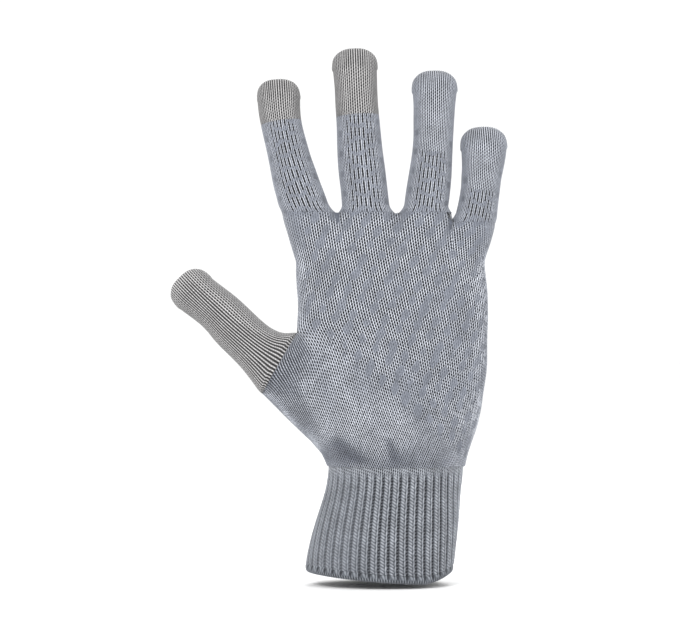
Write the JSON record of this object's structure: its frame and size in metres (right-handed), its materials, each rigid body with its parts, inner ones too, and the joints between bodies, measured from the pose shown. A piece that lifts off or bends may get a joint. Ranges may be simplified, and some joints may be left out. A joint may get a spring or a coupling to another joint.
{
  "type": "knitted glove",
  "caption": "Worn-shape right-hand knitted glove with ribbed cuff, hollow fingers and touch-yarn thumb, index and middle fingertips; wrist and fingers bend.",
  "frame": {"origin": "centre of the cuff's mouth, in the plane of its lowest edge", "axes": "+Z from the cuff's mouth to the fingertips, +Y from the back of the hand to the palm, -X towards the thumb"},
  "size_m": [0.1534, 0.0496, 0.2445],
  "materials": {
    "base_yarn": "blue-grey melange jersey and open mesh knit",
    "cuff_rib_yarn": "blue-grey melange rib knit",
    "touch_yarn": "warmer neutral grey conductive jersey knit",
    "hem_yarn": "overlocked cut edge",
    "elastic_thread": "covered elastic thread"
  },
  "bodies": {
    "cuff": {"cuff_rib": "cuff_rib_yarn", "cuff_hem": "hem_yarn", "cuff_elastic": "elastic_thread"},
    "hand": {"wrist_gather": "base_yarn", "lower_hand": "base_yarn", "upper_hand": "base_yarn", "thumb_root": "touch_yarn", "index_root": "base_yarn", "middle_root": "base_yarn", "ring_root": "base_yarn", "little_root": "base_yarn"},
    "thumb_lower": {"thumb_stall": "touch_yarn", "thumb_knuckle": "touch_yarn"},
    "thumb_upper": {"thumb_tip": "touch_yarn"},
    "index_lower": {"index_stall": "base_yarn", "index_knuckle": "base_yarn"},
    "index_upper": {"index_tip": "touch_yarn"},
    "middle_lower": {"middle_stall": "base_yarn", "middle_knuckle": "base_yarn"},
    "middle_upper": {"middle_tip": "touch_yarn"},
    "ring_lower": {"ring_stall": "base_yarn", "ring_knuckle": "base_yarn"},
    "ring_upper": {"ring_tip": "base_yarn"},
    "little_lower": {"little_stall": "base_yarn", "little_knuckle": "base_yarn"},
    "little_upper": {"little_tip": "base_yarn"}
  },
  "joints": [
    {"name": "wrist_bend", "type": "hinge", "parent": "cuff", "child": "hand", "pos_m": [0.0055, 0, 0.06475], "axis": [-1, 0, 0], "range_deg": [-45, 45], "deforming": ["wrist_gather"]},
    {"name": "thumb_base", "type": "hinge", "parent": "hand", "child": "thumb_lower", "pos_m": [-0.05099, 0.00532, 0.10291], "axis": [-0.5585, 0, -0.8295], "range_deg": [-15, 45], "deforming": ["thumb_root"]},
    {"name": "thumb_knuckle", "type": "hinge", "parent": "thumb_lower", "child": "thumb_upper", "pos_m": [-0.0692, 0.01019, 0.11701], "axis": [-0.6571, 0, -0.7538], "range_deg": [0, 60], "deforming": ["thumb_knuckle"]},
    {"name": "index_base", "type": "hinge", "parent": "hand", "child": "index_lower", "pos_m": [-0.03639, 0.0024, 0.17572], "axis": [-0.9321, 0, -0.3621], "range_deg": [-15, 75], "deforming": ["index_root"]},
    {"name": "index_knuckle", "type": "hinge", "parent": "index_lower", "child": "index_upper", "pos_m": [-0.04376, 0.00442, 0.19994], "axis": [-0.9771, 0, -0.2127], "range_deg": [0, 85], "deforming": ["index_knuckle"]},
    {"name": "middle_base", "type": "hinge", "parent": "hand", "child": "middle_lower", "pos_m": [-0.00696, 0.00232, 0.17602], "axis": [-0.9941, 0, -0.1089], "range_deg": [-15, 75], "deforming": ["middle_root"]},
    {"name": "middle_knuckle", "type": "hinge", "parent": "middle_lower", "child": "middle_upper", "pos_m": [-0.00944, 0.00397, 0.20278], "axis": [-0.9972, 0, -0.0751], "range_deg": [0, 85], "deforming": ["middle_knuckle"]},
    {"name": "ring_base", "type": "hinge", "parent": "hand", "child": "ring_lower", "pos_m": [0.02199, 0.00236, 0.17566], "axis": [-0.9885, 0, 0.151], "range_deg": [-15, 75], "deforming": ["ring_root"]},
    {"name": "ring_knuckle", "type": "hinge", "parent": "ring_lower", "child": "ring_upper", "pos_m": [0.02455, 0.00407, 0.19851], "axis": [-0.9975, 0, 0.0705], "range_deg": [0, 85], "deforming": ["ring_knuckle"]},
    {"name": "little_base", "type": "hinge", "parent": "hand", "child": "little_lower", "pos_m": [0.04555, 0.00256, 0.17031], "axis": [-0.9807, 0, 0.1956], "range_deg": [-15, 75], "deforming": ["little_root"]},
    {"name": "little_knuckle", "type": "hinge", "parent": "little_lower", "child": "little_upper", "pos_m": [0.0477, 0.00495, 0.18761], "axis": [-0.999, 0, 0.0444], "range_deg": [0, 85], "deforming": ["little_knuckle"]}
  ]
}
